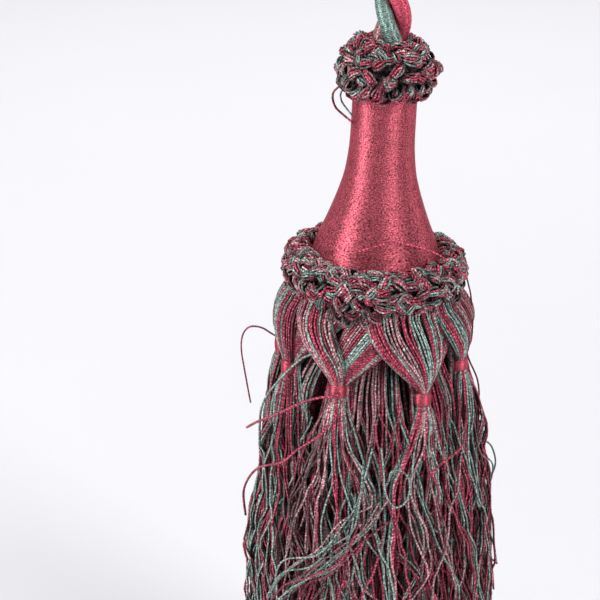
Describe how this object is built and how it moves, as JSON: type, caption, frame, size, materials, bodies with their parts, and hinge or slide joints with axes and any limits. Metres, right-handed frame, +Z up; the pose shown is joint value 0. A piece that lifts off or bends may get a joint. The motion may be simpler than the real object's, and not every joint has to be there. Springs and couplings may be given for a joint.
{
  "type": "curtain tieback tassel",
  "caption": "Curtain tieback tassel: laid rope with a seized eye, satin-wound head between two looped ruffs, crossed bound hanks and a long cut-yarn skirt.",
  "frame": {"origin": "the point inside the top of the rope's eye where a hook carries it", "axes": "+Z up, -Y the tassel's front, the rope's eye lies in the XZ plane"},
  "size_m": [0.097, 0.0969, 0.3749],
  "materials": {
    "rope_green": "grey-teal thread, finely wound",
    "rope_crimson": "crimson thread, finely wound",
    "rope_mixed": "crimson and teal threads wound together",
    "satin_thread": "glossy crimson satin thread in close turns",
    "ruff_yarn": "looped two-ply yarns, crimson and teal",
    "hank_yarn": "parallel two-ply yarns, crimson, teal and marled",
    "skirt_yarn": "loose cut two-ply yarns, crimson, teal and marled"
  },
  "bodies": {
    "root": {"rope_ply_green": "rope_green", "rope_ply_crimson": "rope_crimson", "rope_ply_mixed": "rope_mixed", "eye_seizing": "satin_thread", "top_ruff": "ruff_yarn", "head": "satin_thread", "lower_ruff": "ruff_yarn", "under_hanks": "hank_yarn", "hank_1": "hank_yarn", "hank_2": "hank_yarn", "hank_3": "hank_yarn", "hank_4": "hank_yarn", "hank_5": "hank_yarn", "hank_6": "hank_yarn", "hank_7": "hank_yarn", "hank_8": "hank_yarn", "hank_binding_1": "satin_thread", "hank_binding_2": "satin_thread", "hank_binding_3": "satin_thread", "hank_binding_4": "satin_thread", "hank_binding_5": "satin_thread", "hank_binding_6": "satin_thread", "hank_binding_7": "satin_thread", "hank_binding_8": "satin_thread", "skirt": "skirt_yarn"}
  },
  "joints": []
}
